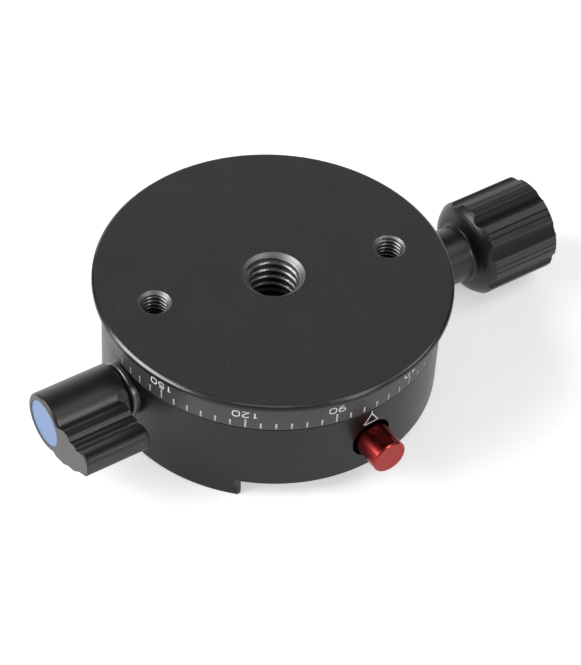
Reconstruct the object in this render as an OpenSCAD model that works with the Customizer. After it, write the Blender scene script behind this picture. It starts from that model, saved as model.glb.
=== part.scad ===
// Panoramic tripod head with a dovetail plate clamp, standing on its clamp.
// The tripod face is up. The origin is on the pan axis, in the tripod face.
// +X points along the clamp screw to the clamp knob, and the release button is on the -Y side.

/* [Base disc] */
// Diameter of the base disc
disc_d = 60; // [59:0.5:64]
// Height of the disc's rim
rim_h = 1; // [0.8:0.1:1.5]
// Radius that rounds the rim's upper edge
rim_round = 0.6; // [0.3:0.1:0.7]
// Radius of the cove under the rim
cove_r = 1.1; // [0.6:0.1:1.3]
// Diameter of the graduated ring
ring_d = 57; // [56.9:0.05:57.2]
// Height from the tripod face to the ring's lower edge
base_h = 6.8; // [6.4:0.1:7]
// Diameter of the tripod thread
thread_d = 9.525; // [8:0.005:11]
// Depth of the tripod thread
thread_depth = 12; // [9:0.5:13]
// Depth of the countersink at the tripod thread's mouth
thread_sink = 0.5; // [0.2:0.1:1]
// Diameter of the two side threads
side_thread_d = 5; // [4:0.5:6]
// Depth of the two side threads
side_thread_depth = 5; // [4:0.25:5.5]
// Depth of the countersinks of the side threads
side_thread_sink = 0.25; // [0.1:0.05:0.4]
// Diameter of the circle on which the side threads lie
side_thread_pcd = 41.4; // [36:0.2:46]
// Direction of the line of the side threads, in degrees
side_thread_turn = -12.4; // [-30:0.1:30]

/* [Degree scale] */
// Angle from one graduation to the next
tick_step = 5; // [3:1:10]
// Every how many graduations one is long
tick_long_every = 6; // [2:1:9]
// Width of a graduation
tick_w = 0.3; // [0.15:0.05:0.5]
// Height of a short graduation
tick_h = 1.3; // [0.8:0.1:1.8]
// Height of a long graduation
tick_long_h = 1.9; // [1.2:0.1:2.4]
// Depth to which the graduations are cut
tick_cut = 0.12; // [0.08:0.01:0.2]
// Height from the ring's lower edge to the graduations
tick_edge = 0.1; // [0.1:0.05:0.5]
// Direction of the 90 degree graduation
tick_turn = -101.85; // [-180:0.05:180]

/* [Pan bearing] */
// Diameter of the base disc's stem
stem_d = 19; // [18:0.25:20]
// Wall of the bearing sleeve
sleeve_t = 1.2; // [0.8:0.1:1.4]
// Thickness of the upper thrust washer
upper_washer_t = 0.8; // [0.5:0.1:1.2]
// Width of the upper thrust washer's band
upper_washer_w = 5; // [3:0.25:5.5]
// Thickness of the lower thrust washer
lower_washer_t = 0.5; // [0.3:0.1:0.7]
// Thickness of the spring washer
wave_t = 0.5; // [0.3:0.1:0.6]
// Thickness of the retaining plate
plate_t = 1.5; // [1.2:0.1:1.7]
// Distance by which the retaining plate reaches beyond the stem
plate_reach = 1.9; // [1.5:0.1:2]
// Thickness of the housing's inner flange
flange_t = 1.2; // [0.8:0.1:1.6]
// Number of retaining screws
retainer_count = 4; // [3:1:6]
// Thread diameter of the retaining screws
retainer_d = 2.5; // [2:0.1:3]
// Length of the retaining screws
retainer_len = 5.5; // [4:0.25:6]
// Diameter of the circle of the retaining screws
retainer_pcd = 12.6; // [11.5:0.1:13.2]

/* [Housing] */
// Diameter of the housing
body_d = 56.8; // [56.6:0.05:57]
// Gap between the graduated ring and the housing
ring_gap = 0.35; // [0.2:0.05:0.5]
// Height from the tripod face to the jaws' lips
total_h = 23.5; // [23:0.1:24.5]
// Height from the tripod face to the clamp's bed
bed_h = 20; // [19.8:0.1:20.6]
// Radius that rounds the housing's lower edge
foot_round = 0.3; // [0.2:0.1:1.2]

/* [Plate clamp] */
// Width of the dovetail plate that the clamp holds
dovetail_w = 38; // [36:0.5:38.5]
// Room beside the plate in the rest position, on each side
dovetail_room = 0.9; // [0.5:0.1:1]
// Height of the upright part of a jaw's groove
dovetail_edge_h = 0.9; // [0.6:0.1:1.2]
// Half length of the full lip, before the lead-in at each end
lip_half = 18.3; // [16:0.1:18.8]
// Clearance between the plate and the lead-in
lead_gap = 0.05; // [0:0.05:0.3]
// Radius of the lip's corners, seen from below
lip_round = 1; // [0.5:0.05:1.2]
// Width of the movable jaw
jaw_w = 31; // [29:0.5:32]
// Depth of the movable jaw's upper edge below the tripod face
jaw_top = 9.3; // [8.6:0.1:9.6]
// Chamfer at the movable jaw's lip
jaw_lead = 1.5; // [0.5:0.1:2.5]
// Travel of the movable jaw inwards from rest
jaw_in = 1.6; // [1:0.1:1.7]
// Travel of the movable jaw outwards from rest
jaw_out = 3; // [2:0.1:3.2]

/* [Clamp knob] */
// Depth of the clamp screw's axis below the tripod face
clamp_axis = 14.46; // [14:0.02:14.8]
// Thread diameter of the clamp screw
clamp_screw_d = 6; // [5:0.1:6.4]
// Diameter of the clamp knob over its lands
knob_d = 17.1; // [16:0.1:17.6]
// Distance from the pan axis to the clamp knob's outer face
knob_end = 54.9; // [52:0.1:58]
// Length of the clamp knob's grip
grip_len = 13.3; // [11:0.1:14]
// Diameter of the clamp knob's neck
neck_d = 10; // [9:0.1:10.4]
// Length of the clamp knob's round shoulder
shoulder_len = 1.9; // [1.6:0.05:2.2]
// Number of flutes on the clamp knob
flute_count = 8; // [6:1:9]
// Radius of the cutter that makes the flutes
flute_cutter_r = 2.6; // [2:0.1:3]
// Depth of the flutes
flute_cut = 0.62; // [0.3:0.02:0.8]
// Direction of the first flute
flute_turn = 15; // [0:1:44]
// Angle of the fine grooves from the middle of a land
rib_angle = 3.6; // [2:0.1:5]
// Radius of the fine grooves
rib_r = 0.22; // [0.1:0.02:0.3]

/* [Pan lock] */
// Depth of the lock screw's axis below the tripod face
lock_axis = 11.8; // [11.4:0.05:12.2]
// Thread diameter of the lock screw
lock_screw_d = 6; // [5:0.1:6]
// Distance from the pan axis to the lock knob's outer face
lock_end = 43.7; // [41:0.1:46]
// Length of the lock knob's wing
wing_len = 11.5; // [9:0.1:12]
// Gap between the lock knob's hub and the lock bush at rest
hub_gap = 0.2; // [0.2:0.05:0.5]
// Diameter of the lock knob's hub
hub_d = 10.4; // [10:0.1:11]
// Radius that rounds the hub's outer edge
hub_round = 0.5; // [0.2:0.1:0.6]
// Diameter of the coloured cap in the lock knob
cap_d = 8.2; // [7.5:0.1:8.6]
// Thickness of the coloured cap
cap_t = 0.8; // [0.5:0.1:1.2]
// Diameter of the lock bush's flange
bush_flange_d = 9.8; // [9.4:0.1:10]
// Thickness of the lock bush's flange
bush_flange_t = 0.7; // [0.5:0.05:0.8]
// Distance from the housing to the outer face of the lock bush
bush_stand = 1.35; // [1.2:0.05:1.6]
// Diameter of the lock bush in the housing
bush_d = 8.4; // [7.8:0.1:9]
// Length of the lock bush in the housing
bush_len = 11.4; // [10.5:0.1:11.8]
// Diameter of the lock shoe
shoe_d = 6.4; // [6.2:0.1:6.8]
// Travel of the lock shoe towards the stem
shoe_in = 0.15; // [0.1:0.01:0.2]
// Travel of the lock shoe away from the stem
shoe_out = 0.4; // [0.2:0.05:0.45]

/* [Safety stop] */
// Diameter of the release button
button_d = 6.1; // [5.8:0.05:6.2]
// Distance from the pan axis to the button's face
button_end = 33.6; // [33:0.1:35]
// Depth of the button's axis below the tripod face
button_axis = 13.9; // [13.6:0.05:14.2]
// Sideways offset of the button from the pan axis
button_x = 1.2; // [0:0.1:2]
// Diameter of the recess around the button
button_recess_d = 7.4; // [6.8:0.1:8]
// Depth of the recess around the button, from the housing's surface
button_recess = 2.2; // [1:0.1:2.6]
// Travel of the release button
button_travel = 2.4; // [1.8:0.1:2.4]
// Height by which the button lifts the safety pin
pin_lift = 1.4; // [1:0.05:1.4]
// Height of the safety pin's nose below the bed
pin_proud = 1.3; // [0.8:0.05:1.35]
// Diameter of the safety pin
safety_pin_d = 3.8; // [3.4:0.1:3.9]
// Diameter of the safety pin's nose
pin_nose_d = 2.8; // [2.2:0.1:2.9]
// Distance from the pan axis to the safety pin
safety_pin_y = 19; // [18.8:0.1:19.6]

/* [Hidden] */
$fn = 96;

// One overrun for all cuts
over = 1;
// Radial gap of a pressed or glued seat, and of a running fit
seat_gap = 0.02;
run_gap = 0.05;
// Gap of loose pieces that pass each other
free_gap = 0.15;
// Steps of a rounded edge
round_steps = 6;

disc_r = disc_d / 2;
ring_r = ring_d / 2;
thread_r = thread_d / 2;
side_thread_r = side_thread_d / 2;
body_r = body_d / 2;
housing_top = base_h + ring_gap;

// Pan bearing, from the stem outwards and from the ring downwards
stem_r = stem_d / 2;
sleeve_ir = stem_r + run_gap;
sleeve_or = sleeve_ir + sleeve_t;
sleeve_seat_r = sleeve_or + seat_gap;
upper_washer_ir = sleeve_seat_r + 2 * free_gap;
upper_washer_or = upper_washer_ir + upper_washer_w;
upper_recess_z = base_h + upper_washer_t;
plate_r = stem_r + plate_reach;
counterbore_r = plate_r + free_gap;
flange_r = stem_r + free_gap;
plate_sunk = 0.5;
stem_end = bed_h - plate_sunk - plate_t;
flange_low = stem_end - wave_t - lower_washer_t;
flange_top = flange_low - flange_t;
ring_washer_ir = stem_r + 2 * free_gap;
retainer_r = retainer_d / 2;
retainer_head_r = 0.95 * retainer_d;
retainer_head_h = retainer_head_r - retainer_r;
retainer_key_r = 0.3 * retainer_d;
retainer_tip_room = 0.4;
lock_groove_depth = 1.2;
lock_groove_half = 1.3;
lock_groove_flat = 0.15;

// Clamp, measured from the pan axis along X
dovetail_half = dovetail_w / 2;
root_x = dovetail_half + dovetail_room;
lip_depth = total_h - bed_h - dovetail_edge_h;
tip_x = root_x - lip_depth;
lead_x = dovetail_half + lead_gap;
lead_y = sqrt(body_r * body_r - lead_x * lead_x);
lead_turn = atan2(lead_x - tip_x, lead_y - lip_half);
lead_reach = 0.95;
jaw_half = jaw_w / 2;
jaw_back = 0.7;
jaw_back_x = root_x + jaw_back;
pocket_room = 0.35;
pocket_x = jaw_back_x - jaw_in - pocket_room;
clamp_screw_r = clamp_screw_d / 2;
insert_wall = 0.8;
insert_r = clamp_screw_r + run_gap + insert_wall;
insert_len = 5.8;
insert_x = pocket_x - insert_len;
screw_tip_room = 0.3;
clamp_screw_tip = insert_x + jaw_in - screw_tip_room / 2;
guide_y = 10.5;
guide_r = 2;
guide_tip = 10.8;
guide_end = 25;
guide_bore_end = guide_tip - jaw_in - screw_tip_room;
spring_seat_x = 16;
spring_or = 3;
spring_ir = guide_r + 2 * free_gap;
spring_bore_r = spring_or + 2 * free_gap;
washer_sunk = 0.6;
washer_seat_x = body_r - washer_sunk;
clamp_washer_t = 0.8;
clamp_washer_r = neck_d / 2;
washer_seat_r = clamp_washer_r + free_gap;

// Clamp knob, measured from the pan axis along X
knob_r = knob_d / 2;
neck_r = neck_d / 2;
neck_start = washer_seat_x + clamp_washer_t + seat_gap;
grip_start = knob_end - grip_len;
shoulder_start = grip_start - shoulder_len;
shoulder_fillet = 0.6;
shoulder_stop = 130;
shoulder_reach = shoulder_len / (1 + cos(shoulder_stop));
shoulder_h = (knob_r - neck_r - shoulder_fillet) / sin(shoulder_stop);
grip_chamfer = 0.35;
stud_end = grip_start + 0.4 * grip_len;
stud_bore_end = stud_end + screw_tip_room;
knob_dish_r = 0.62 * knob_r;
knob_dish = 0.6;
clamp_set_x = neck_start + 0.45 * (shoulder_start - neck_start);
set_screw_r = 1.5;
set_screw_key_r = 0.75;
set_screw_key_depth = 1;
set_screw_turn = -60;
set_screw_sunk = 0.3;

// Pan lock, measured from the pan axis against X
lock_screw_r = lock_screw_d / 2;
hub_r = hub_d / 2;
bush_face_x = body_r + bush_stand;
hub_start = bush_face_x + hub_gap;
hub_chamfer = 0.7;
cap_r = cap_d / 2;
cap_seat = 0.1;
bush_flange_r = bush_flange_d / 2;
bush_flange_x = bush_face_x - bush_flange_t;
bush_round = 0.4;
bush_r = bush_d / 2;
bush_end = body_r - bush_len;
shoe_r = shoe_d / 2;
shoe_bore_r = shoe_r + run_gap;
shoe_stand = 0.4;
shoe_face = stem_r + shoe_stand;
shoe_len = 4.3;
shoe_back = shoe_face + shoe_len;
nose_gap = 0.03;
nose_tip_room = 0.1;
groove_slope_share = (lock_groove_half - lock_groove_flat) / lock_groove_depth;
nose_tip_x = stem_r - lock_groove_depth + nose_tip_room + shoe_in;
nose_tip_r = lock_groove_flat - nose_gap + nose_tip_room * groove_slope_share;
nose_r = nose_tip_r + (shoe_face - nose_tip_x) * groove_slope_share;
cap_floor = 1;
lock_screw_end = lock_end - cap_seat - cap_t - cap_floor;
lock_set_x = hub_start + 0.42 * (lock_end - hub_start);
scoop_r = 1.1;
scoop_cut = 0.35;
scoop_turn = 142;

// Outline of the wing as [y, z] in shares of the hub's radius: the three teeth of its upper side,
// from the hub out to the tip, and the waves of its lower side, from the tip back to the hub
wing_top_shares = [
    [-0.3, 0.5], [-0.86, 0.57], [-0.92, 0.63], [-1.18, 0.775], [-1.24, 0.79], [-1.44, 0.79], [-1.5, 0.77],
    [-1.565, 0.665], [-1.59, 0.645], [-1.78, 0.705], [-1.82, 0.71], [-1.94, 0.69], [-1.97, 0.635],
    [-2.01, 0.645], [-2.135, 0.72], [-2.32, 0.77]
];
wing_low_shares = [
    [-2.36, -0.07], [-2.11, -0.2], [-1.95, -0.35], [-1.79, -0.46], [-1.47, -0.555], [-1.31, -0.67],
    [-1.15, -0.75], [-0.71, -0.85], [-0.3, -0.7]
];
// Centres and radii of the two roundings of the wing's tip, in the same shares
tip_high_share = [-2.43, 0.56, 0.215];
tip_low_share = [-2.43, 0.185, 0.21];

// Safety stop, measured from the pan axis against Y
button_r = button_d / 2;
button_bore_r = button_r + run_gap;
button_chamfer = 0.2;
button_recess_r = button_recess_d / 2;
safety_pin_r = safety_pin_d / 2;
pin_nose_r = pin_nose_d / 2;
pin_bore_r = safety_pin_r + run_gap;
pin_nose_bore_r = pin_nose_r + run_gap;
pin_step = 1.1;
pin_shoulder = bed_h - pin_step;
pin_top = 11;
plug_t = 1.3;
plug_sunk = 0.1;
plug_low = housing_top + plug_sunk + plug_t;
ramp_w = 1.8;
ramp_h = 1.5;
ramp_gap = 0.12;
ramp_slope_share = pin_lift / button_travel;
ramp_start = safety_pin_y + safety_pin_r + button_travel + free_gap;
ramp_end = safety_pin_y - safety_pin_r - free_gap;
ramp_drop = (ramp_start - ramp_end) * ramp_slope_share;
ramp_high = button_axis - ramp_drop / 2;
ramp_low = button_axis + ramp_drop / 2;
ramp_tail = 0.3;
button_back = ramp_start + free_gap;
button_bore_end = ramp_end - ramp_tail - button_travel - 2 * free_gap;
spring_wire = 0.4;

// Points of an arc about [x, y] from angle a to angle b, stretched along y by tall
function arc(x, y, r, a, b, tall = 1) =
    [for (i = [0:round_steps]) [x + r * cos(a + (b - a) * i / round_steps),
                                y + tall * r * sin(a + (b - a) * i / round_steps)]];

// A solid turned about the line y = 0, z = -depth, from a profile of [x, r] points
module turned_x(depth, points) {
    translate([0, 0, -depth]) rotate([0, 90, 0]) rotate([0, 0, 90])
        rotate_extrude() polygon([for (p = points) [p[1], p[0]]]);
}

// A round bar along X at depth, from x0 to x1, moved sideways to y
module bar_x(depth, r, x0, x1, y = 0) {
    translate([x0, y, -depth]) rotate([0, 90, 0]) cylinder(r = r, h = x1 - x0);
}

// A round bar along Y at the button's axis, from -y1 to -y0
module bar_y(r, y0, y1) {
    translate([button_x, -y0, -button_axis]) rotate([90, 0, 0]) cylinder(r = r, h = y1 - y0);
}

// A round bar along Z from depth z0 down to depth z1
module bar_z(r, z0, z1) {
    translate([0, 0, -z1]) cylinder(r = r, h = z1 - z0);
}

// A flat ring between two radii, from depth z0 down to depth z1
module ring_z(ir, or, z0, z1) {
    difference() {
        bar_z(or, z0, z1);
        bar_z(ir, z0 - over, z1 + over);
    }
}

// A prism along Y over a half length, from an outline of [x, z] points
module prism_y(half, points) {
    translate([0, half, 0]) rotate([90, 0, 0]) linear_extrude(2 * half) polygon(points);
}

// The graduations as blocks that reach into the ring
module graduations() {
    for (i = [0:360 / tick_step - 1]) {
        h = i % tick_long_every == 0 ? tick_long_h : tick_h;
        rotate([0, 0, tick_turn + i * tick_step])
            translate([ring_r - tick_cut, -tick_w / 2, -base_h + tick_edge])
                cube([tick_cut + over, tick_w, h]);
    }
}

// Base disc with its rim, graduated ring and stem
module base_disc() {
    color("dimgray") difference() {
        rotate_extrude() polygon(concat(
            [[0, 0]],
            arc(disc_r - rim_round, -rim_round, rim_round, 90, 0),
            [[disc_r, -rim_h]],
            arc(ring_r + cove_r, -rim_h - cove_r, cove_r, 90, 180),
            [[ring_r, -base_h], [stem_r, -base_h], [stem_r, -stem_end], [0, -stem_end]]));
        bar_z(thread_r, -over, thread_depth);
        translate([0, 0, -thread_sink])
            cylinder(r1 = thread_r, r2 = thread_r + thread_sink + over, h = thread_sink + over);
        for (a = [0, 180]) rotate([0, 0, side_thread_turn + a])
            translate([side_thread_pcd / 2, 0, 0]) {
                bar_z(side_thread_r, -over, side_thread_depth);
                translate([0, 0, -side_thread_sink])
                    cylinder(r1 = side_thread_r, r2 = side_thread_r + side_thread_sink + over,
                             h = side_thread_sink + over);
            }
        graduations();
        lock_groove();
        retainer_places() bar_z(retainer_r + seat_gap, stem_end - retainer_depth(), stem_end + over);
    }
}

// Depth of the retaining screws' holes in the stem
function retainer_depth() = retainer_len - plate_t + retainer_tip_room;

// Groove in the stem, in which the lock shoe runs
module lock_groove() {
    rotate_extrude() polygon([
        [stem_r - lock_groove_depth, -lock_axis - lock_groove_flat],
        [stem_r - lock_groove_depth, -lock_axis + lock_groove_flat],
        [stem_r, -lock_axis + lock_groove_half],
        [stem_r + over, -lock_axis + lock_groove_half],
        [stem_r + over, -lock_axis - lock_groove_half],
        [stem_r, -lock_axis - lock_groove_half]]);
}

// Places of the retaining screws around the pan axis
module retainer_places() {
    for (i = [0:retainer_count - 1]) rotate([0, 0, (i + 0.5) * 360 / retainer_count])
        translate([retainer_pcd / 2, 0, 0]) children();
}

// Countersunk head of a retaining screw, its flat side down
module retainer_head(gap) {
    translate([0, 0, -stem_end - plate_t])
        cylinder(r1 = retainer_head_r + gap, r2 = retainer_r + gap, h = retainer_head_h);
}

module wave_washer() {
    color("silver") ring_z(ring_washer_ir, plate_r - free_gap, stem_end - wave_t, stem_end);
}

module retaining_plate() {
    color("gray") difference() {
        bar_z(plate_r, stem_end, stem_end + plate_t);
        retainer_places() {
            bar_z(retainer_r + free_gap, stem_end - over, stem_end + plate_t + over);
            retainer_head(seat_gap);
            bar_z(retainer_head_r + seat_gap, stem_end + plate_t, stem_end + plate_t + over);
        }
    }
}

module retaining_screws() {
    color("silver") retainer_places() difference() {
        union() {
            bar_z(retainer_r, stem_end + plate_t - retainer_len, stem_end + plate_t - retainer_head_h);
            retainer_head(0);
        }
        translate([0, 0, -stem_end - plate_t - over])
            cylinder(r = retainer_key_r, h = over + plate_t / 2, $fn = 6);
    }
}

// The round outside of the housing and the movable jaw
module round_body(top, gap = 0) {
    rotate_extrude() polygon(concat(
        [[0, -top], [body_r + gap, -top]],
        arc(body_r + gap - foot_round, -total_h + foot_round, foot_round, 0, -90),
        [[0, -total_h]]));
}

// Cut for the plate, open below and towards the movable jaw
module plate_groove() {
    prism_y(body_r + over, [
        [-root_x, -bed_h], [-root_x, -bed_h - dovetail_edge_h], [-tip_x, -total_h],
        [-tip_x, -total_h - over], [body_r + over, -total_h - over], [body_r + over, -bed_h]]);
}

// Cut that gives the fixed lip its lead-in at each end, a slanting wall whose outer corner is round
module lip_lead_in() {
    near_x = tip_x + lip_round * cos(lead_turn);
    near_y = lip_half - lip_round * sin(lead_turn);
    out = body_r - lead_reach * lip_round;
    along = near_x * sin(lead_turn) + near_y * cos(lead_turn);
    run = sqrt(along * along + out * out - near_x * near_x - near_y * near_y) - along;
    centre_x = near_x + run * sin(lead_turn);
    centre_y = near_y + run * cos(lead_turn);
    for (side = [0, 1]) mirror([0, side, 0]) translate([0, 0, -total_h - over])
        linear_extrude(total_h + over - bed_h - dovetail_edge_h / 2) polygon(concat(
            [[over - tip_x, lip_half - over / tan(lead_turn)]],
            [for (p = arc(centre_x, centre_y, lip_round, 180 - lead_turn, atan2(centre_y, centre_x))) [-p[0], p[1]]],
            [[-centre_x - lip_round, centre_y + 2 * lip_round], [-centre_x - lip_round, body_r + over],
             [over - tip_x, body_r + over]]));
}

// Housing with the fixed jaw
module housing() {
    color("dimgray") difference() {
        round_body(housing_top);
        plate_groove();
        lip_lead_in();
        jaw_pocket();
        bearing_cuts();
        pan_lock_cuts();
        safety_stop_cuts();
    }
}

// Pocket of the movable jaw, with the bores of the clamp screw's insert and of the guide pins
module jaw_pocket() {
    half = jaw_half + free_gap;
    translate([pocket_x, -half, -total_h - over])
        cube([body_r, 2 * half, total_h + over - jaw_top + free_gap]);
    bar_x(clamp_axis, clamp_screw_r + run_gap, insert_x - screw_tip_room, pocket_x);
    bar_x(clamp_axis, insert_r + seat_gap, insert_x, pocket_x + over);
    for (side = [-1, 1]) {
        bar_x(clamp_axis, guide_r + run_gap, guide_bore_end, pocket_x, side * guide_y);
        bar_x(clamp_axis, spring_bore_r, spring_seat_x, pocket_x + over, side * guide_y);
    }
}

// Bores of the pan bearing
module bearing_cuts() {
    bar_z(sleeve_seat_r, 0, flange_top);
    bar_z(flange_r, 0, bed_h + over);
    bar_z(counterbore_r, flange_low, bed_h + over);
    bar_z(upper_washer_or + free_gap, 0, upper_recess_z);
}

// Bores of the lock bush and the lock shoe
module pan_lock_cuts() {
    bar_x(lock_axis, shoe_bore_r, -body_r, -stem_r);
    bar_x(lock_axis, bush_r + seat_gap, -body_r - over, -bush_end);
}

// Bores of the release button and the safety pin
module safety_stop_cuts() {
    bar_y(button_bore_r, button_bore_end, body_r + over);
    bar_y(button_recess_r, body_r - button_recess, body_r + over);
    at_safety_pin() {
        bar_z(pin_bore_r, 0, pin_shoulder);
        bar_z(pin_nose_bore_r, 0, bed_h + over);
    }
}

module at_safety_pin() {
    translate([button_x, -safety_pin_y, 0]) children();
}

module bearing_sleeve() {
    color("darkgoldenrod") difference() {
        ring_z(sleeve_ir, sleeve_or, upper_recess_z, flange_top);
        bar_x(lock_axis, shoe_bore_r, -body_r, -stem_r);
    }
}

module upper_thrust_washer() {
    color("ivory") ring_z(upper_washer_ir, upper_washer_or, base_h, upper_recess_z);
}

module lower_thrust_washer() {
    color("ivory") ring_z(ring_washer_ir, plate_r - free_gap, flange_low, flange_low + lower_washer_t);
}

// Threaded insert of the clamp screw, pressed into the housing
module clamp_thread_insert() {
    color("goldenrod") turned_x(clamp_axis, [
        [insert_x, clamp_screw_r + run_gap], [pocket_x, clamp_screw_r + run_gap],
        [pocket_x, insert_r], [insert_x, insert_r]]);
}

// Threaded bush of the lock screw, with its flange outside the housing
module lock_bush() {
    bore = lock_screw_r + run_gap;
    color("darkslategray") turned_x(lock_axis, concat(
        [[-bush_end, bore], [-bush_end, bush_r], [-bush_flange_x, bush_r], [-bush_flange_x, bush_flange_r]],
        arc(-bush_face_x + bush_round, bush_flange_r - bush_round, bush_round, 90, 180),
        [[-bush_face_x, bore]]));
}

// Threaded plug that closes the safety pin's bore
module pin_bore_plug() {
    color("gray") at_safety_pin() difference() {
        bar_z(safety_pin_r + run_gap - seat_gap, plug_low - plug_t, plug_low);
        translate([0, 0, -plug_low + plug_t / 2]) cylinder(r = set_screw_key_r, h = plug_t, $fn = 6);
    }
}

// Springs that open the clamp, around the guide pins
module jaw_springs() {
    color("lightsteelblue") for (side = [-1, 1]) translate([0, side * guide_y, 0])
        turned_x(clamp_axis, [[spring_seat_x, spring_ir], [jaw_back_x, spring_ir],
                              [jaw_back_x, spring_or], [spring_seat_x, spring_or]]);
}

module safety_pin_spring() {
    color("lightsteelblue") at_safety_pin()
        ring_z(safety_pin_r - spring_wire - free_gap, safety_pin_r - free_gap / 2, plug_low, pin_top);
}

// Movable jaw, in line with the housing's round outside at rest
module movable_jaw() {
    low = -bed_h - free_gap;
    color("dimgray") difference() {
        intersection() {
            round_body(jaw_top);
            prism_y(jaw_half, [
                [jaw_back_x, 0], [jaw_back_x, low], [root_x, low], [root_x, -bed_h - dovetail_edge_h],
                [tip_x, -total_h], [tip_x, -total_h - over], [body_r + over, -total_h - over],
                [body_r + over, 0]]);
            linear_extrude(2 * total_h, center = true) polygon([
                [tip_x, -jaw_half + jaw_lead], [tip_x + jaw_lead, -jaw_half],
                [body_r + over, -jaw_half], [body_r + over, jaw_half],
                [tip_x + jaw_lead, jaw_half], [tip_x, jaw_half - jaw_lead]]);
        }
        bar_x(clamp_axis, clamp_screw_r + free_gap, pocket_x, body_r + over);
        bar_x(clamp_axis, washer_seat_r, washer_seat_x, body_r + over);
        for (side = [-1, 1])
            bar_x(clamp_axis, guide_r + seat_gap, pocket_x, guide_end + seat_gap, side * guide_y);
    }
}

module jaw_guide_pins() {
    color("silver") for (side = [-1, 1]) bar_x(clamp_axis, guide_r, guide_tip, guide_end, side * guide_y);
}

module clamp_washer() {
    color("silver") turned_x(clamp_axis, [
        [washer_seat_x, clamp_screw_r + free_gap], [washer_seat_x + clamp_washer_t, clamp_screw_r + free_gap],
        [washer_seat_x + clamp_washer_t, clamp_washer_r], [washer_seat_x, clamp_washer_r]]);
}

// Clamp knob with its neck, shoulder, fluted grip and shallow outer dish
module clamp_knob() {
    color("dimgray") difference() {
        turned_x(clamp_axis, concat(
            [[stud_bore_end, 0], [stud_bore_end, clamp_screw_r + seat_gap],
             [neck_start, clamp_screw_r + seat_gap], [neck_start, neck_r]],
            arc(shoulder_start - shoulder_fillet, neck_r + shoulder_fillet, shoulder_fillet, -90, 0),
            arc(shoulder_start + shoulder_reach, neck_r + shoulder_fillet, shoulder_reach, 180, shoulder_stop,
                shoulder_h / shoulder_reach),
            [[knob_end - grip_chamfer, knob_r], [knob_end, knob_r - grip_chamfer],
             [knob_end, knob_dish_r], [knob_end - knob_dish, knob_dish_r - knob_dish],
             [knob_end - knob_dish, 0]]));
        translate([0, 0, -clamp_axis]) rotate([0, 90, 0]) rotate([0, 0, 90]) grip_cuts();
        set_screw_hole(clamp_axis, clamp_set_x, clamp_screw_r, neck_r);
    }
}

// Flutes and fine grooves of the grip, along Z
module grip_cuts() {
    translate([0, 0, shoulder_start]) linear_extrude(knob_end - shoulder_start + over)
        for (i = [0:flute_count - 1]) rotate(flute_turn + i * 360 / flute_count) {
            translate([knob_r + flute_cutter_r - flute_cut, 0]) circle(r = flute_cutter_r);
            for (side = [-1, 1]) rotate(180 / flute_count + side * rib_angle)
                translate([knob_r + 0.3 * rib_r, 0]) circle(r = rib_r);
        }
}

// A radial hole for a set screw, square to a knob's axis
module set_screw_hole(depth, x, inner_r, outer_r) {
    set_screw_place(depth, x) translate([0, 0, inner_r]) cylinder(r = set_screw_r + seat_gap, h = outer_r);
}

module set_screw_place(depth, x) {
    translate([x, 0, -depth]) rotate([set_screw_turn - 90, 0, 0]) children();
}

module set_screw(depth, x, inner_r, outer_r) {
    h = outer_r - inner_r - set_screw_sunk;
    set_screw_place(depth, x) difference() {
        translate([0, 0, inner_r + seat_gap]) cylinder(r = set_screw_r, h = h);
        translate([0, 0, inner_r + h - set_screw_key_depth])
            cylinder(r = set_screw_key_r, h = over + set_screw_key_depth, $fn = 6);
    }
}

module clamp_screw() {
    color("silver") bar_x(clamp_axis, clamp_screw_r, clamp_screw_tip, stud_end);
}

module clamp_set_screw() {
    color("gray") set_screw(clamp_axis, clamp_set_x, clamp_screw_r, neck_r);
}

// Lock shoe with the nose that runs in the stem's groove
module lock_shoe() {
    color("goldenrod") turned_x(lock_axis, [
        [-shoe_back, 0], [-shoe_back, shoe_r], [-shoe_face, shoe_r], [-shoe_face, nose_r],
        [-nose_tip_x, nose_tip_r], [-nose_tip_x, 0]]);
}

// Lock knob: a round hub and a wing with teeth
module pan_lock_knob() {
    color("dimgray") difference() {
        union() {
            turned_x(lock_axis, concat(
                [[-lock_end, 0]],
                arc(-lock_end + hub_round, hub_r - hub_round, hub_round, 180, 90),
                [[-hub_start - hub_chamfer, hub_r], [-hub_start, hub_r - hub_chamfer], [-hub_start, 0]]));
            translate([-lock_end, 0, -lock_axis]) rotate([90, 0, 90]) linear_extrude(wing_len) wing_outline();
        }
        bar_x(lock_axis, cap_r + seat_gap, -lock_end - over, -lock_end + cap_seat + cap_t);
        bar_x(lock_axis, lock_screw_r + seat_gap, -lock_screw_end - seat_gap, -hub_start + over);
        set_screw_hole(lock_axis, -lock_set_x, lock_screw_r, hub_r);
        translate([-hub_start - hub_chamfer, 0, -lock_axis]) rotate([scoop_turn - 90, 0, 0])
            translate([-scoop_r / 2, 0, hub_r - scoop_cut]) cylinder(r = scoop_r, h = over);
    }
}

// Outline of the wing in Y and Z about the hub's axis
module wing_outline() {
    polygon(hub_r * concat(
        wing_top_shares,
        arc(tip_high_share[0], tip_high_share[1], tip_high_share[2], 90, 180),
        arc(tip_low_share[0], tip_low_share[1], tip_low_share[2], 180, 240),
        wing_low_shares));
}

module lock_screw() {
    color("silver") bar_x(lock_axis, lock_screw_r, -lock_screw_end, -shoe_back);
}

module lock_knob_cap() {
    color("cornflowerblue") bar_x(lock_axis, cap_r, -lock_end + cap_seat, -lock_end + cap_seat + cap_t);
}

module lock_set_screw() {
    color("gray") set_screw(lock_axis, -lock_set_x, lock_screw_r, hub_r);
}

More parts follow.
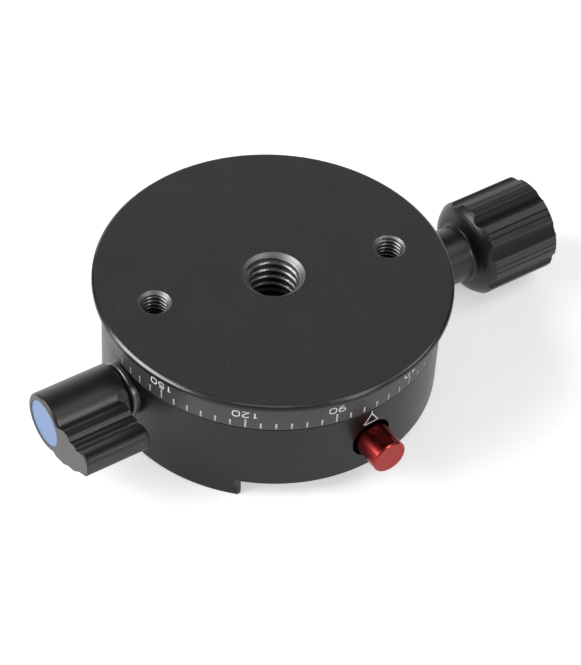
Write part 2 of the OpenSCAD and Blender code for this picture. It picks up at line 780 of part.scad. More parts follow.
// Centre line of the button's ramp as [y, z] points, thickened by a gap
function ramp_outline(gap, y0, y1) = let (
    half = ramp_h / 2 + gap,
    high = -ramp_high,
    low = -ramp_low)
    [[-y0, high + half], [-ramp_start, high + half], [-ramp_end, low + half], [-y1, low + half],
     [-y1, low - half], [-ramp_end, low - half], [-ramp_start, high - half], [-y0, high - half]];

// Release button with the ramp that passes through the safety pin
module release_button() {
    color("firebrick") union() {
        translate([button_x, 0, -button_axis]) rotate([90, 0, 0]) rotate_extrude() polygon([
            [0, button_back], [button_r, button_back], [button_r, button_end - button_chamfer],
            [button_r - button_chamfer, button_end], [0, button_end]]);
        translate([button_x - ramp_w / 2, 0, 0]) rotate([90, 0, 90]) linear_extrude(ramp_w)
            polygon(ramp_outline(0, button_back + ramp_tail, ramp_end - ramp_tail));
    }
}

// Safety pin with its nose in the clamp's bed and a sloping slot for the ramp
module safety_pin() {
    slot = ramp_w / 2 + ramp_gap;
    reach = safety_pin_r + over;
    drop = reach * ramp_slope_share;
    mid = -ramp_high - (ramp_start - safety_pin_y) * ramp_slope_share;
    half = ramp_h / 2 + ramp_gap;
    color("silver") difference() {
        at_safety_pin() {
            bar_z(safety_pin_r, pin_top, pin_shoulder - seat_gap);
            bar_z(pin_nose_r, pin_top, bed_h + pin_proud);
        }
        translate([button_x - slot, -safety_pin_y, mid]) rotate([90, 0, 90]) linear_extrude(2 * slot)
            polygon([[-reach, drop + half], [reach, -drop + half], [reach, -drop - half], [-reach, drop - half]]);
    }
}

base_disc();
wave_washer();
retaining_plate();
retaining_screws();
housing();
bearing_sleeve();
upper_thrust_washer();
lower_thrust_washer();
clamp_thread_insert();
lock_bush();
pin_bore_plug();
jaw_springs();
safety_pin_spring();
movable_jaw();
jaw_guide_pins();
clamp_washer();
clamp_knob();
clamp_screw();
clamp_set_screw();
lock_shoe();
pan_lock_knob();
lock_screw();
lock_knob_cap();
lock_set_screw();
release_button();
safety_pin();
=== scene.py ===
import math

import bpy
from mathutils import Matrix, Vector


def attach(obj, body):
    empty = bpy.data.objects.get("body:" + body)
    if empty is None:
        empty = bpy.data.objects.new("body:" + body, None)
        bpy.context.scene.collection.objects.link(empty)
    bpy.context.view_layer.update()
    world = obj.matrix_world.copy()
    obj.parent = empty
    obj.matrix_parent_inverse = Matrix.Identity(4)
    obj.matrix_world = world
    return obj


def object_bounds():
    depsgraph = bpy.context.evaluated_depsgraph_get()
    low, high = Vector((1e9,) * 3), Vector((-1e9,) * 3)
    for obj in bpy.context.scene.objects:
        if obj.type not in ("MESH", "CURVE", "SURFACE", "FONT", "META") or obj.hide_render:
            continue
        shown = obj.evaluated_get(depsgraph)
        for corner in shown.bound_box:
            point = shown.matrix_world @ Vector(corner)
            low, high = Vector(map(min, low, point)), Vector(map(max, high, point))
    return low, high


# Panoramic tripod head. Lengths are in millimetres, and are scaled to metres where Blender takes them.
MM = 0.001

# Camera at the photograph's viewing angle, for an image of 581 x 665 pixels
IMAGE_H = 665
FOCAL_PX = 2534.9
SENSOR = 36
EYE = (-174.196, -243.392, 292.351)
LOOK = (0.41355, 0.56404, -0.71473)
ROLL = math.radians(3.80)
CLIP_START = 0.01

# Sizes of the part that the added pieces and the finishes follow
RING_R = 28.5
RING_LOW = -6.8
TICK_CUT = 0.12
HOUSING_R = 28.4
CLAMP_AXIS = 14.46
GRIP_START = 41.6
GRIP_R = 8.55
LOCK_AXIS = 11.8
RELIEF_TURN = math.radians(142)
RELIEF_R = 4.85
WING_TIP = 11.5

# Tapped holes of the base disc. The crests are bright down to a depth, with black painted shade below it
# and in the roots, and each thread starts at a share of a turn.
DISC_THREAD = {"major": 4.7625, "minor": 3.97, "pitch": 1.5875, "sink": 0.5, "depth": 12, "bright": 6.5}
DISC_THREAD_START = 0.75
SIDE_THREAD = {"major": 2.5, "minor": 2.07, "pitch": 0.8, "sink": 0.25, "depth": 5, "bright": 3.9}
SIDE_THREAD_STARTS = {"right": 0.674, "left": 0.124}
SIDE_PLACE_R = 20.7
SIDE_PLACE_TURN = -12.4
THREAD_FLANK_SLOPE = math.tan(math.radians(60))
SLEEVE_GAP = 0.01
SLEEVE_WALL = 0.02
SLEEVE_TOP_GAP = 0.005
SLEEVE_LOW_GAP = 0.02
CREST_SHARE = 0.38
CREST_LEAN = -0.2
CONE_NEAR = 0.03

# Numerals of the scale and the mark above the button
NUMERAL_STEP = 30
NUMERAL_TURN = -101.85
NUMERAL_REFERENCE = 90
NUMERAL_H = 1.2
NUMERAL_W = 1.12
NUMERAL_GAP = 0.46
NUMERAL_STROKE = 0.19
NUMERAL_LOW = -4.4
PAINT_T = 0.02
BEND_LIMIT = 0.6
CLOSED_WITHIN = 0.01
MARK_X = 0.75
MARK_HALF = 1.4
MARK_STEM = -7.3
MARK_JOIN = -8.0
MARK_TOP = -7.95
MARK_LOW = -9.97
MARK_STROKE = 0.2
MARK_SPANS = 6

# Limits that tell the faces of one finish from those of another. The first four bound a part of a face's
# normal, the others are places.
SLANT_LOW = 0.4
SLANT_HIGH = 0.95
ALONG = 0.5
FACING = 0.999
SINK_LOW = -0.6
SINK_REACH = 25
RIM_START = RING_R + 0.6
TICK_INNER = RING_R - 1.6 * TICK_CUT
TICK_OUTER = RING_R - 0.6 * TICK_CUT
TICK_REACH = 3
RING_NEAR = 0.05
RING_TOP = -2
FLUTE_DEPTH = 0.12
RELIEF_NEAR = 0.1

# Bevels of the turned rim: the heights where one turns into the other, and how steeply their normals rise
RIM_SPLIT_LOW = -0.2
RIM_SPLIT_HIGH = -0.12
RIM_LOW_SLOPE = math.tan(math.radians(48))
RIM_HIGH_SLOPE = math.tan(math.radians(56))

# Range that most values of a noise fill
NOISE_LOW = 0.3
NOISE_HIGH = 0.7

# Sizes of the clouds, stains, worn patches and lathe grain in the finishes
DYE_CLOUD_MM = 9
CLOUD_MM = 2.5
STAIN_MM = 4
WEAR_MM = 1.2
LATHE_GRAIN_MM = 0.15

# Rays that round an edge, and the likeness of the rounded and the flat normal where an edge begins and
# where it is sharpest
EDGE_SAMPLES = 6
EDGE_BEGIN = 0.995
EDGE_SHARP = 0.85

# Floor and backdrop
FLOOR_SIZE = 6
FLOOR_CELLS = 8
FLOOR_GAP = 0.02
FLOOR_GLOW = 0.45
BACKDROP_TONE = 0.8
STUDIO_FILL = 0.1

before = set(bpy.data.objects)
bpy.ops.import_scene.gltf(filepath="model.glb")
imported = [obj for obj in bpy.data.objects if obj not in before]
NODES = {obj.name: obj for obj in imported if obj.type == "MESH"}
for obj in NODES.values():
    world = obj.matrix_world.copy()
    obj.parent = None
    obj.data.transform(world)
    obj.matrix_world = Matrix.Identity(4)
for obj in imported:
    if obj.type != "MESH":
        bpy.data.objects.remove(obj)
cad_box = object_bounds()


class Graph:
    """A material whose nodes are added with short calls."""

    def __init__(self, name):
        self.material = bpy.data.materials.new(name)
        self.material.use_nodes = True
        self.tree = self.material.node_tree
        self.shader = self.tree.nodes["Principled BSDF"]
        self.place = self.add("ShaderNodeTexCoord").outputs["Object"]

    def add(self, kind, **settings):
        made = self.tree.nodes.new(kind)
        for key, value in settings.items():
            setattr(made, key, value)
        return made

    def join(self, value, socket):
        if isinstance(value, bpy.types.NodeSocket):
            self.tree.links.new(value, socket)
        else:
            socket.default_value = value

    def calc(self, operation, *values):
        made = self.add("ShaderNodeMath", operation=operation)
        for value, socket in zip(values, made.inputs):
            self.join(value, socket)
        return made.outputs[0]

    def vector(self, operation, *values):
        made = self.add("ShaderNodeVectorMath", operation=operation)
        for value, socket in zip(values, made.inputs):
            self.join(value, socket)
        return made.outputs["Value" if operation == "DOT_PRODUCT" else "Vector"]

    def split(self, vector):
        parts = self.add("ShaderNodeSeparateXYZ")
        self.join(vector, parts.inputs[0])
        return parts.outputs

    def combine(self, x=0.0, y=0.0, z=0.0):
        made = self.add("ShaderNodeCombineXYZ")
        for value, socket in zip((x, y, z), made.inputs):
            self.join(value, socket)
        return made.outputs[0]

    def between(self, value, low, high, to_low=0.0, to_high=1.0):
        made = self.add("ShaderNodeMapRange")
        for key, item in (("Value", value), ("From Min", low), ("From Max", high),
                          ("To Min", to_low), ("To Max", to_high)):
            self.join(item, made.inputs[key])
        return made.outputs[0]

    def spread(self, noise, to_low=0.0, to_high=1.0):
        """A noise stretched over the range that most of its values fill."""
        return self.between(noise, NOISE_LOW, NOISE_HIGH, to_low, to_high)

    def uneven(self, first, second, low, high):
        """A roughness between two values that follows the sum of two noises."""
        return self.between(self.calc("ADD", first, second), 2 * NOISE_LOW, 2 * NOISE_HIGH, low, high)

    def noise(self, size_mm, detail=2.0, place=None):
        made = self.add("ShaderNodeTexNoise")
        self.join(self.place if place is None else place, made.inputs["Vector"])
        made.inputs["Scale"].default_value = 1 / (size_mm * MM)
        made.inputs["Detail"].default_value = detail
        return made.outputs["Fac"]

    def stretched(self, scale):
        made = self.add("ShaderNodeMapping")
        self.join(self.place, made.inputs["Vector"])
        made.inputs["Scale"].default_value = scale
        return made.outputs["Vector"]

    def mix(self, share, low, high):
        made = self.add("ShaderNodeMix", data_type="RGBA")
        self.join(share, made.inputs["Factor"])
        self.join(low, made.inputs["A"])
        self.join(high, made.inputs["B"])
        return made.outputs["Result"]

    def edge(self, radius_mm):
        """A normal that rounds the edges, and 1 on such an edge, 0 on a flat or gently curved place."""
        rounded = self.add("ShaderNodeBevel", samples=EDGE_SAMPLES)
        rounded.inputs["Radius"].default_value = radius_mm * MM
        sharp = self.add("ShaderNodeNewGeometry")
        likeness = self.vector("DOT_PRODUCT", rounded.outputs["Normal"], sharp.outputs["True Normal"])
        return rounded.outputs["Normal"], self.between(likeness, EDGE_BEGIN, EDGE_SHARP)

    def bump(self, height, depth_mm, normal=None):
        made = self.add("ShaderNodeBump")
        made.inputs["Distance"].default_value = depth_mm * MM
        self.join(height, made.inputs["Height"])
        if normal is not None:
            self.join(normal, made.inputs["Normal"])
        return made.outputs["Normal"]

    def from_axis(self, axis, centre):
        """Distance from an axis in metres, for lathe marks on a flat turned face."""
        parts = self.split(self.place)
        squares = []
        for i in range(3):
            if i != axis:
                shifted = self.calc("SUBTRACT", parts[i], centre[i] * MM)
                squares.append(self.calc("MULTIPLY", shifted, shifted))
        return self.calc("SQRT", self.calc("ADD", *squares))

    def finish(self, colour, rough, normal, metallic=0.0, specular=0.5):
        self.join(colour, self.shader.inputs["Base Color"])
        self.join(rough, self.shader.inputs["Roughness"])
        self.join(normal, self.shader.inputs["Normal"])
        self.shader.inputs["Metallic"].default_value = metallic
        self.shader.inputs["Specular IOR Level"].default_value = specular
        return self.material


def grey(value, tint=(1, 1, 1)):
    return (*(value * t for t in tint), 1)


def anodised(name, dark, light, edge_tone, rough, grain_mm, depth_mm, edge_mm=0.12, metallic=0.0,
             specular=0.5):
    """Blasted and anodised aluminium: fine grain, faint clouds and edges where the dye is thin."""
    g = Graph(name)
    fine = g.noise(grain_mm, 3)
    cloud = g.noise(DYE_CLOUD_MM)
    normal, edge = g.edge(edge_mm)
    wear = g.between(g.noise(WEAR_MM), 0.3, 0.6, 0.55, 1)
    tone = g.mix(g.spread(fine), dark, light)
    tone = g.mix(g.spread(cloud, 0, 0.25), tone, dark)
    tone = g.mix(g.calc("MULTIPLY", edge, wear), tone, edge_tone)
    roughness = g.uneven(fine, cloud, rough - 0.05, rough + 0.06)
    return g.finish(tone, roughness, g.bump(fine, depth_mm, normal), metallic, specular)


def turned_metal(name, dark, light, rough, axis, centre, pitch_mm, depth_mm, metallic=1.0):
    """Metal with the fine rings that a lathe leaves, and a few stains."""
    g = Graph(name)
    rings = g.noise(pitch_mm, 2, g.combine(g.from_axis(axis, centre)))
    fine = g.noise(LATHE_GRAIN_MM)
    stain = g.noise(STAIN_MM)
    normal, edge = g.edge(0.08)
    tone = g.mix(g.spread(rings), dark, light)
    tone = g.mix(g.between(stain, 0.45, 0.75, 0, 0.3), tone, dark)
    tone = g.mix(g.calc("MULTIPLY", edge, 0.7), tone, light)
    roughness = g.uneven(rings, fine, rough - 0.06, rough + 0.08)
    return g.finish(tone, roughness, g.bump(rings, depth_mm, normal), metallic)


def plain_fine(name, dark, light, rough, grain_mm, depth_mm, metallic=0.0, stretch=(1, 1, 1)):
    """Paint, plastic or drawn metal with a fine uneven surface."""
    g = Graph(name)
    fine = g.noise(grain_mm, 3, g.stretched(stretch))
    cloud = g.noise(CLOUD_MM)
    tone = g.mix(g.spread(fine), dark, light)
    tone = g.mix(g.between(cloud, 0.4, 0.8, 0, 0.35), tone, dark)
    roughness = g.uneven(fine, cloud, rough - 0.05, rough + 0.08)
    return g.finish(tone, roughness, g.bump(fine, depth_mm), metallic)


def turned_edge(name, dark, light, rough, metallic):
    """A bright edge turned about the Z axis in two bevels, smooth all the way round."""
    g = Graph(name)
    x, y, z = g.split(g.place)
    outward = g.vector("NORMALIZE", g.combine(x, y))
    rise = g.between(z, RIM_SPLIT_LOW * MM, RIM_SPLIT_HIGH * MM, RIM_LOW_SLOPE, RIM_HIGH_SLOPE)
    turned = g.add("ShaderNodeVectorTransform", vector_type="NORMAL", convert_from="OBJECT",
                   convert_to="WORLD")
    g.join(g.vector("ADD", outward, g.combine(z=rise)), turned.inputs["Vector"])
    smooth = g.vector("NORMALIZE", turned.outputs["Vector"])
    cloud = g.noise(CLOUD_MM)
    tone = g.mix(g.spread(cloud), dark, light)
    return g.finish(tone, g.spread(cloud, rough - 0.02, rough + 0.03), smooth, metallic)


BLACK = anodised("black_blasted", grey(0), grey(0.03), grey(0.1),
                 rough=0.52, grain_mm=0.26, depth_mm=0.03)
BLACK_BODY = anodised("black_body", grey(0.003), grey(0.009), grey(0.1),
                      rough=0.34, grain_mm=0.14, depth_mm=0.008, specular=0.3)
BLACK_RING = anodised("black_ring", grey(0.026), grey(0.042), grey(0.2),
                      rough=0.4, grain_mm=0.13, depth_mm=0.006, specular=0.4)
BLACK_KNOB = anodised("black_knob", grey(0.005), grey(0.01), grey(0.12),
                      rough=0.34, grain_mm=0.12, depth_mm=0.008)
# Painted shade: a darker, duller black for the grip's flutes and the relief beside the wing
GROOVE_SHADE = anodised("groove_painted_shade", grey(0.001), grey(0.004), grey(0.05),
                        rough=0.4, grain_mm=0.12, depth_mm=0.008, specular=0.25)
# Painted shade: a darker black for the wing's tip, with a wide bevel that rounds its shading
TIP_SHADE = anodised("tip_painted_shade", grey(0.002), grey(0.006), grey(0.02),
                     rough=0.34, grain_mm=0.12, depth_mm=0.008, edge_mm=0.9, specular=0.4)
RED = anodised("red_anodised", grey(1, (0.29, 0.028, 0.025)), grey(1, (0.33, 0.034, 0.03)),
               grey(1, (0.6, 0.12, 0.11)), rough=0.24, grain_mm=0.12, depth_mm=0.003, metallic=1.0)
BLUE = turned_metal("blue_anodised", grey(1, (0.13, 0.205, 0.375)), grey(1, (0.16, 0.245, 0.42)),
                    rough=0.42, axis=0, centre=(0, 0, -LOCK_AXIS), pitch_mm=0.18, depth_mm=0.003,
                    metallic=0.4)
BARE_CUT = turned_metal("bare_cut", grey(0.17), grey(0.26),
                        rough=0.52, axis=2, centre=(0, 0, 0), pitch_mm=0.14, depth_mm=0.003)
BARE_CREST = plain_fine("bare_crest", grey(0.16), grey(0.22),
                        rough=0.36, grain_mm=0.14, depth_mm=0.002, metallic=1.0)
# Painted shade: black for the thread's roots and its deeper turns
THREAD_SHADE = plain_fine("thread_painted_shade", grey(0.003), grey(0.006), rough=0.55, grain_mm=0.15, depth_mm=0.003)
RIM = turned_edge("rim_edge", grey(0.068), grey(0.084), rough=0.21, metallic=0.85)
COLLAR = plain_fine("collar_black", grey(0.1), grey(0.14),
                    rough=0.28, grain_mm=0.15, depth_mm=0.002, metallic=0.8)
STEEL = plain_fine("turned_steel", grey(0.42), grey(0.6),
                   rough=0.3, grain_mm=0.2, depth_mm=0.003, metallic=1.0, stretch=(1, 1, 6))
SPRING = plain_fine("spring_steel", grey(0.3), grey(0.46),
                    rough=0.34, grain_mm=0.3, depth_mm=0.003, metallic=1.0)
BLACK_STEEL = plain_fine("black_oxide", grey(0.02), grey(0.05),
                         rough=0.4, grain_mm=0.15, depth_mm=0.004, metallic=0.6)
BRONZE = plain_fine("bronze", grey(1, (0.5, 0.32, 0.14)), grey(1, (0.66, 0.45, 0.22)),
                    rough=0.34, grain_mm=0.25, depth_mm=0.004, metallic=1.0)
PTFE = plain_fine("ptfe", grey(0.7), grey(0.82), rough=0.5, grain_mm=0.3, depth_mm=0.003)
PAINT = plain_fine("white_paint", grey(0.56), grey(0.7), rough=0.55, grain_mm=0.12, depth_mm=0.004)
FLOOR = plain_fine("floor_card", grey(0.74), grey(0.78), rough=0.8, grain_mm=2.0, depth_mm=0.01)
FLOOR.node_tree.nodes["Principled BSDF"].inputs["Emission Color"].default_value = grey(1)
FLOOR.node_tree.nodes["Principled BSDF"].inputs["Emission Strength"].default_value = FLOOR_GLOW

NODE_MATERIALS = {
    BLACK_BODY: ("housing", "movable_jaw"),
    COLLAR: ("lock_bush",),
    RED: ("release_button",),
    BLUE: ("lock_knob_cap",),
    STEEL: ("retaining_plate", "retaining_screws", "jaw_guide_pins", "clamp_washer", "clamp_screw",
            "lock_screw", "safety_pin", "pin_bore_plug"),
    SPRING: ("wave_washer", "jaw_springs", "safety_pin_spring"),
    BLACK_STEEL: ("clamp_set_screw", "lock_set_screw"),
    BRONZE: ("bearing_sleeve", "clamp_thread_insert", "lock_shoe"),
    PTFE: ("upper_thrust_washer", "lower_thrust_washer"),
}


def dress(node, *materials):
    slots = NODES[node].data.materials
    slots.clear()
    for material in materials:
        slots.append(material)


def finish_faces(mesh, choose):
    """Give each face the material of the mesh that choose names for its middle and its normal."""
    materials = list(mesh.materials)
    for face in mesh.polygons:
        place = [c / MM for c in face.center]
        face.material_index = materials.index(choose(place, face.normal))


def disc_finish(place, normal):
    """Bare countersinks, a turned rim, painted graduations, a lighter ring and a black body edge."""
    r, z = math.hypot(place[0], place[1]), place[2]
    slanted = SLANT_LOW < normal.z < SLANT_HIGH
    if slanted and z > SINK_LOW and r < SINK_REACH:
        return BARE_CUT
    if slanted and r > RIM_START:
        return RIM
    if TICK_INNER < r < TICK_OUTER and RING_LOW < z < RING_LOW + TICK_REACH:
        return PAINT
    if r > RING_R - RING_NEAR and z < RING_TOP:
        return BLACK_RING
    if r > RING_R - RING_NEAR and normal.z < ALONG:
        return BLACK_BODY
    return BLACK


def clamp_knob_finish(place, normal):
    """Flutes of the grip, rougher than the turned lands between them and painted darker as shade."""
    from_axis = math.hypot(place[1], place[2] + CLAMP_AXIS)
    # The flutes get the darker black, which is painted shade
    if place[0] > GRIP_START and from_axis < GRIP_R - FLUTE_DEPTH and abs(normal.x) < ALONG:
        return GROOVE_SHADE
    return BLACK_KNOB


def lock_knob_finish(place, normal):
    """The wing's tip, shaded round by a wide bevel and painted darker as shade, and the relief beside the
    wing, painted darker as shade.
    """
    relief = Vector((0, math.cos(RELIEF_TURN), math.sin(RELIEF_TURN)))
    out = Vector((place[0], place[1], place[2] + LOCK_AXIS)).dot(relief)
    # The tip and then the relief get darker blacks, which are painted shade
    if place[1] < -WING_TIP and abs(normal.x) < ALONG:
        return TIP_SHADE
    if normal.dot(relief) > FACING and abs(out - RELIEF_R) < RELIEF_NEAR:
        return GROOVE_SHADE
    return BLACK_KNOB


for material, nodes in NODE_MATERIALS.items():
    for node in nodes:
        dress(node, material)
dress("base_disc", BLACK, BLACK_RING, BARE_CUT, PAINT, RIM, BLACK_BODY)
dress("clamp_knob", BLACK_KNOB, GROOVE_SHADE)
dress("pan_lock_knob", BLACK_KNOB, GROOVE_SHADE, TIP_SHADE)
finish_faces(NODES["base_disc"].data, disc_finish)
finish_faces(NODES["clamp_knob"].data, clamp_knob_finish)
finish_faces(NODES["pan_lock_knob"].data, lock_knob_finish)


def piece(name, points, faces, body, materials, smooth=False):
    """A mesh from points in millimetres, riding on a body."""
    mesh = bpy.data.meshes.new(name)
    mesh.from_pydata([tuple(c * MM for c in p) for p in points], [], faces)
    for material in materials:
        mesh.materials.append(material)
    mesh.polygons.foreach_set("use_smooth", [smooth] * len(mesh.polygons))
    mesh.update()
    made = bpy.data.objects.new(name, mesh)
    bpy.context.scene.collection.objects.link(made)
    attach(made, body)
    return made


def circle(centre, radius, z, count):
    """Points of a level circle, anticlockwise from the +X side."""
    angles = [2 * math.pi * j / count for j in range(count)]
    return [(centre[0] + radius * math.cos(a), centre[1] + radius * math.sin(a), z) for a in angles]


def thread_radius(share, major, minor, pitch):
    """Radius of a 60 degree internal thread with a rounded crest, at a share of its pitch."""
    height = major - minor
    half = THREAD_FLANK_SLOPE * pitch / 2
    roundness = (half * half - height * height) / (2 * height)
    return minor + math.hypot(roundness, 2 * half * (share % 1 - 0.5)) - roundness


def tapped_hole(name, centre, size, start, around=96, rows_per_turn=20):
    """The thread of a tapped hole as a closed sleeve that lines the plain bore of the solid."""
    minor, pitch = size["minor"], size["pitch"]
    outside = size["major"] - SLEEVE_GAP
    root = outside - SLEEVE_WALL
    top, low = -size["sink"] - SLEEVE_TOP_GAP, -size["depth"] + SLEEVE_LOW_GAP
    rows = round((top - low) / pitch * rows_per_turn)

    def cone(z):
        """Radius of the countersink at a height."""
        return size["major"] + size["sink"] + z

    points, faces = [], []
    for i in range(rows + 1):
        z = top + (low - top) * i / rows
        for j in range(around):
            turn = 2 * math.pi * j / around
            r = thread_radius(z / pitch - j / around + start, root, minor, pitch)
            r = min(max(r, cone(z)), root)
            points.append((centre[0] + r * math.cos(turn), centre[1] + r * math.sin(turn), z))
    points += circle(centre, outside, low, around) + circle(centre, outside, top, around)
    circles = rows + 3
    for i in range(circles):
        a, b = i * around, (i + 1) % circles * around
        faces += [(a + j, a + (j + 1) % around, b + (j + 1) % around, b + j) for j in range(around)]

    def sleeve_finish(place, normal):
        """Bare metal on the countersink and on the upper crests; black painted shade in the roots and
        below.
        """
        r, z = math.hypot(place[0] - centre[0], place[1] - centre[1]), place[2]
        if abs(r - cone(z)) < CONE_NEAR:
            return BARE_CUT
        if z > -size["bright"] and r < minor + CREST_SHARE * (root - minor) and normal.z > CREST_LEAN:
            return BARE_CREST
        return THREAD_SHADE

    made = piece(name, points, faces, "pan_body", (THREAD_SHADE, BARE_CUT, BARE_CREST), True)
    finish_faces(made.data, sleeve_finish)


tapped_hole("centre_thread", (0, 0), DISC_THREAD, DISC_THREAD_START)
for side, label in ((0, "right"), (180, "left")):
    angle = math.radians(SIDE_PLACE_TURN + side)
    place = (SIDE_PLACE_R * math.cos(angle), SIDE_PLACE_R * math.sin(angle))
    tapped_hole("side_thread_" + label, place, SIDE_THREAD, SIDE_THREAD_STARTS[label],
                around=64, rows_per_turn=14)


def bow(cx, cy, rx, ry, start, end, steps=14):
    """Points of an elliptic arc, in degrees anticlockwise from the right."""
    angles = [math.radians(start + (end - start) * i / steps) for i in range(steps + 1)]
    return [(cx + rx * math.cos(a), cy + ry * math.sin(a)) for a in angles]


# Centre lines of the digits in a box one unit wide and one unit high
DIGITS = {
    "0": [bow(0.5, 0.7, 0.5, 0.3, 0, 180) + bow(0.5, 0.3, 0.5, 0.3, 180, 360) + [(1, 0.7)]],
    "1": [[(0.25, 0.78), (0.6, 1), (0.6, 0)]],
    "2": [bow(0.5, 0.72, 0.46, 0.28, 165, -30) + [(0.02, 0), (0.98, 0)]],
    "3": [bow(0.48, 0.755, 0.44, 0.245, 160, -90), bow(0.48, 0.255, 0.5, 0.255, 90, -160)],
    "4": [[(0.74, 0), (0.74, 1), (0, 0.3), (1, 0.3)]],
    "5": [[(0.9, 1), (0.14, 1), (0.08, 0.56)] + bow(0.48, 0.32, 0.5, 0.32, 130, -155)],
    "6": [bow(0.5, 0.31, 0.48, 0.31, 0, 360), bow(0.62, 0.36, 0.6, 0.66, 178, 75)],
    "7": [[(0, 1), (1, 1), (0.36, 0)]],
    "8": [bow(0.5, 0.76, 0.4, 0.24, -90, 270), bow(0.5, 0.26, 0.5, 0.26, 90, 450)],
    "9": [bow(0.5, 0.69, 0.48, 0.31, 0, 360), bow(0.38, 0.64, 0.6, 0.66, -2, -105)],
}


def ribbon(line, width, closed):
    """Left and right edge points of a flat stroke that follows a line."""
    left, right = [], []
    count = len(line)
    for i, (x, y) in enumerate(line):
        back = line[i - 1] if i or closed else line[i]
        on = line[(i + 1) % count] if i + 1 < count or closed else line[i]
        dx, dy = on[0] - back[0], on[1] - back[1]
        before = (x - back[0], y - back[1])
        length = math.hypot(dx, dy) or 1
        nx, ny = -dy / length, dx / length
        step = math.hypot(*before)
        if step and (i + 1 < count or closed):
            bend = max((before[0] * dx + before[1] * dy) / (step * length), BEND_LIMIT)
            nx, ny = nx / bend, ny / bend
        left.append((x + nx * width / 2, y + ny * width / 2))
        right.append((x - nx * width / 2, y - ny * width / 2))
    return left, right


def strokes_on_cylinder(name, strokes, radius, body):
    """Painted strokes, each (line, width, closed), wrapped on a cylinder about the pan axis.

    A line's points are (arc length from the -Y side, height), both in millimetres."""
    points, faces = [], []
    for line, width, closed in strokes:
        edges = ribbon(line, width, closed)
        count = len(line)
        first = len(points)
        for r in (radius - PAINT_T, radius + PAINT_T):
            for edge in edges:
                for s, z in edge:
                    turn = s / radius - math.pi / 2
                    points.append((r * math.cos(turn), r * math.sin(turn), z))
        for i in range(count if closed else count - 1):
            j = (i + 1) % count
            a, b, c, d = (first + k * count for k in range(4))
            faces += [(a + i, a + j, b + j, b + i), (c + i, d + i, d + j, c + j),
                      (a + i, c + i, c + j, a + j), (b + i, b + j, d + j, d + i)]
        if not closed:
            for i in (0, count - 1):
                a, b, c, d = (first + k * count + i for k in range(4))
                faces.append((a, b, d, c) if i == 0 else (c, d, b, a))
    piece(name, points, faces, body, (PAINT,))


def numerals():
    """Strokes of all numerals of the scale, upright when the clamp is up."""
    strokes = []
    for value in range(0, 360, NUMERAL_STEP):
        word = str(value)
        turn = NUMERAL_TURN - (value - NUMERAL_REFERENCE)
        middle = math.radians(turn + 90) * RING_R
        span = len(word) * NUMERAL_W + (len(word) - 1) * NUMERAL_GAP
        for k, digit in enumerate(word):
            start = middle + span / 2 - k * (NUMERAL_W + NUMERAL_GAP)
            for line in DIGITS[digit]:
                placed = [(start - x * NUMERAL_W, NUMERAL_LOW + (1 - y) * NUMERAL_H) for x, y in line]
                closed = math.dist(placed[0], placed[-1]) < CLOSED_WITHIN
                strokes.append((placed[:-1] if closed else placed, NUMERAL_STROKE, closed))
    return strokes


def index_mark():
    """Strokes of a triangle and of the short stem that points from it to the scale."""
    corners = [(MARK_X, MARK_TOP), (MARK_X + MARK_HALF, MARK_LOW), (MARK_X - MARK_HALF, MARK_LOW)]
    strokes = []
    for i, (x, z) in enumerate(corners):
        x2, z2 = corners[(i + 1) % 3]
        line = []
        for k in range(MARK_SPANS + 1):
            line.append((x + (x2 - x) * k / MARK_SPANS, z + (z2 - z) * k / MARK_SPANS))
        strokes.append((line, MARK_STROKE, False))
    strokes.append(([(MARK_X, MARK_STEM), (MARK_X, MARK_JOIN)], MARK_STROKE, False))
    return strokes


strokes_on_cylinder("scale_numerals", numerals(), RING_R, "pan_body")
strokes_on_cylinder("index_mark", index_mark(), HOUSING_R, "housing_body")

floor_z = cad_box[0].z - FLOOR_GAP * MM
bpy.ops.mesh.primitive_grid_add(x_subdivisions=FLOOR_CELLS, y_subdivisions=FLOOR_CELLS, size=FLOOR_SIZE,
                                location=(0, 0, floor_z))
floor = bpy.context.object
floor.name = "floor"
floor.data.materials.append(FLOOR)


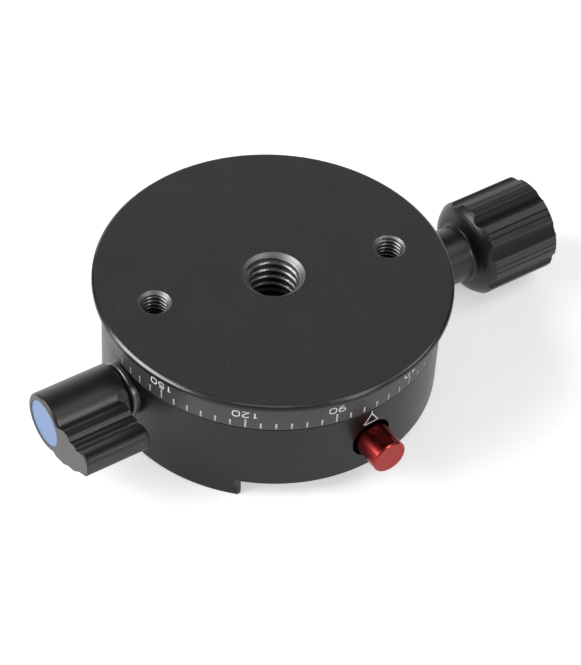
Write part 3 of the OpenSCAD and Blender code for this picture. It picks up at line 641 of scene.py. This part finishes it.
def softbox(name, turn, lift, distance, width, height, radiance):
    """A rectangular light that faces the part. Its direction is in degrees, its lengths in metres."""
    light = bpy.data.lights.new(name, "AREA")
    light.shape = "RECTANGLE"
    light.size, light.size_y = width, height
    light.energy = radiance * math.pi * width * height
    made = bpy.data.objects.new(name, light)
    turn, lift = math.radians(turn), math.radians(lift)
    aim = Vector((math.cos(turn) * math.cos(lift), math.sin(turn) * math.cos(lift), math.sin(lift)))
    made.location = aim * distance
    made.rotation_euler = aim.to_track_quat("Z", "Y").to_euler()
    bpy.context.scene.collection.objects.link(made)


softbox("key_low", -75, 26, 1.0, 0.28, 0.45, 9)
softbox("key_high", -38, 58, 1.0, 0.65, 0.36, 2.2)
softbox("left", 158, 29, 1.0, 0.75, 0.8, 8)
softbox("front", -126, 68, 1.2, 0.5, 0.2, 2.2)
softbox("right", -20, 38, 1.0, 0.42, 0.24, 2.4)
softbox("back", 62, 10, 1.3, 1.6, 0.5, 1.3)
softbox("back_high", 60, 32, 1.3, 1.2, 0.5, 0.6)

# A faint fill lights the part, and the camera sees a pale backdrop
world = bpy.data.worlds.new("studio")
world.use_nodes = True
fill = world.node_tree.nodes["Background"]
fill.inputs["Color"].default_value = grey(1)
fill.inputs["Strength"].default_value = STUDIO_FILL
backdrop = world.node_tree.nodes.new("ShaderNodeBackground")
backdrop.inputs["Color"].default_value = grey(BACKDROP_TONE)
seen = world.node_tree.nodes.new("ShaderNodeLightPath")
either = world.node_tree.nodes.new("ShaderNodeMixShader")
for source, target in ((seen.outputs["Is Camera Ray"], either.inputs[0]),
                       (fill.outputs[0], either.inputs[1]),
                       (backdrop.outputs[0], either.inputs[2]),
                       (either.outputs[0], world.node_tree.nodes["World Output"].inputs["Surface"])):
    world.node_tree.links.new(source, target)
bpy.context.scene.world = world
bpy.context.scene.view_settings.view_transform = "Standard"

look = Vector(LOOK).normalized()
level = look.cross(Vector((0, 0, 1))).normalized()
up = level.cross(look)
right = math.cos(ROLL) * level + math.sin(ROLL) * up
top = right.cross(look)
lens = bpy.data.cameras.new("camera")
lens.sensor_width = SENSOR
lens.lens = SENSOR * FOCAL_PX / IMAGE_H
lens.clip_start = CLIP_START
camera = bpy.data.objects.new("camera", lens)
turn = Matrix((right, top, -look)).transposed().to_4x4()
camera.matrix_world = Matrix.Translation(Vector(EYE) * MM) @ turn
bpy.context.scene.collection.objects.link(camera)
bpy.context.scene.camera = camera
